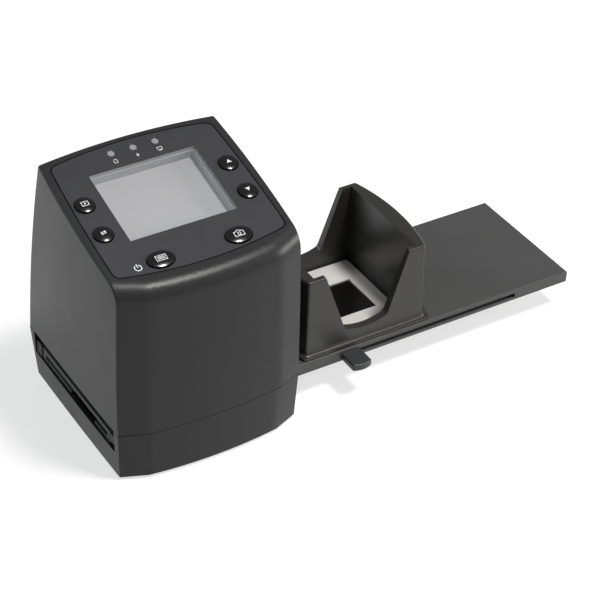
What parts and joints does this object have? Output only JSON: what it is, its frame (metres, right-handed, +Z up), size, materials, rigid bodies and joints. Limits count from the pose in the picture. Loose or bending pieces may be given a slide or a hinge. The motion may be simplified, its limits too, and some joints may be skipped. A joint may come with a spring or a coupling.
{
  "type": "film negative scanner",
  "caption": "Tabletop film and slide scanner: tapered housing with tilted screen panel, a channel through its base, and a sliding feeder with slide magazine and pusher.",
  "frame": {"origin": "on the standing plane, under the middle of the housing", "axes": "+X along the feeder to the magazine's side, +Y to the back of the housing, +Z up"},
  "size_m": [0.2374, 0.0946, 0.1158],
  "materials": {
    "shell": "satin black moulded plastic",
    "base_shell": "satin black moulded plastic",
    "fascia": "dark grey satin plate",
    "window": "clear acrylic",
    "screen_well": "grey plastic",
    "screen": "unlit grey screen",
    "foam": "black foam",
    "button": "glossy black",
    "light_pipe": "frosted clear plastic",
    "board": "green circuit board",
    "component": "black component",
    "steel": "plated steel",
    "guide": "black plastic",
    "opal": "opal white plastic",
    "white_box": "white plastic",
    "lamp": "yellow lamp chip",
    "lens": "clear glass",
    "feeder": "dark grey satin plastic",
    "hopper": "satin black moulded plastic",
    "mount_card": "warm white plastic mount",
    "film": "dark film",
    "rubber": "black rubber"
  },
  "bodies": {
    "housing": {"upper_cover": "shell", "base_cover": "base_shell", "fascia_panel": "fascia", "screen_window": "window", "screen_frame": "screen_well", "screen_module": "screen", "screen_pad": "foam", "lamp_pipes": "light_pipe", "main_board": "board", "button_switches": "component", "indicator_lamps": "lamp", "processor_chip": "component", "board_screws": "steel", "usb_socket": "steel", "card_socket": "steel", "video_socket": "component", "film_guide": "guide", "upper_gate": "guide", "diffuser": "opal", "light_box": "white_box", "light_board": "board", "light_lamps": "lamp", "optics_tower": "guide", "lens_barrel": "guide", "lens_glass": "lens", "sensor_board": "board", "image_sensor": "component", "optics_screws": "steel", "case_screws": "steel", "rubber_feet": "rubber"},
    "feeder": {"feeder_tray": "feeder", "slide_frame": "feeder", "feeder_cover": "feeder", "feeder_screws": "steel", "magazine": "hopper"},
    "pusher": {"pusher_plate": "guide", "pusher_knob": "feeder"},
    "slide": {"slide_mount": "mount_card", "slide_film": "film"},
    "playback_key": {"playback_button": "button"},
    "flip_key": {"flip_button": "button"},
    "up_key": {"up_button": "button"},
    "down_key": {"down_button": "button"},
    "menu_key": {"menu_button": "button"},
    "capture_key": {"capture_button": "button"}
  },
  "joints": [
    {"name": "feeder_slide", "type": "slide", "parent": "housing", "child": "feeder", "axis": [1, 0, 0], "range_m": [0, 0.084]},
    {"name": "pusher_slide", "type": "slide", "parent": "feeder", "child": "pusher", "axis": [1, 0, 0], "range_m": [0, 0.085]},
    {"name": "slide_lift", "type": "slide", "parent": "feeder", "child": "slide", "axis": [0, 0, 1], "range_m": [0, 0.045]},
    {"name": "playback_press", "type": "slide", "parent": "housing", "child": "playback_key", "axis": [0, 0.2487, -0.9686], "range_m": [0, 0.0007], "stiffness_N_per_m": 800},
    {"name": "flip_press", "type": "slide", "parent": "housing", "child": "flip_key", "axis": [0, 0.2487, -0.9686], "range_m": [0, 0.0007], "stiffness_N_per_m": 800},
    {"name": "up_press", "type": "slide", "parent": "housing", "child": "up_key", "axis": [0, 0.2487, -0.9686], "range_m": [0, 0.0007], "stiffness_N_per_m": 800},
    {"name": "down_press", "type": "slide", "parent": "housing", "child": "down_key", "axis": [0, 0.2487, -0.9686], "range_m": [0, 0.0007], "stiffness_N_per_m": 800},
    {"name": "menu_press", "type": "slide", "parent": "housing", "child": "menu_key", "axis": [0, 0.2487, -0.9686], "range_m": [0, 0.0007], "stiffness_N_per_m": 800},
    {"name": "capture_press", "type": "slide", "parent": "housing", "child": "capture_key", "axis": [0, 0.2487, -0.9686], "range_m": [0, 0.0007], "stiffness_N_per_m": 800}
  ]
}
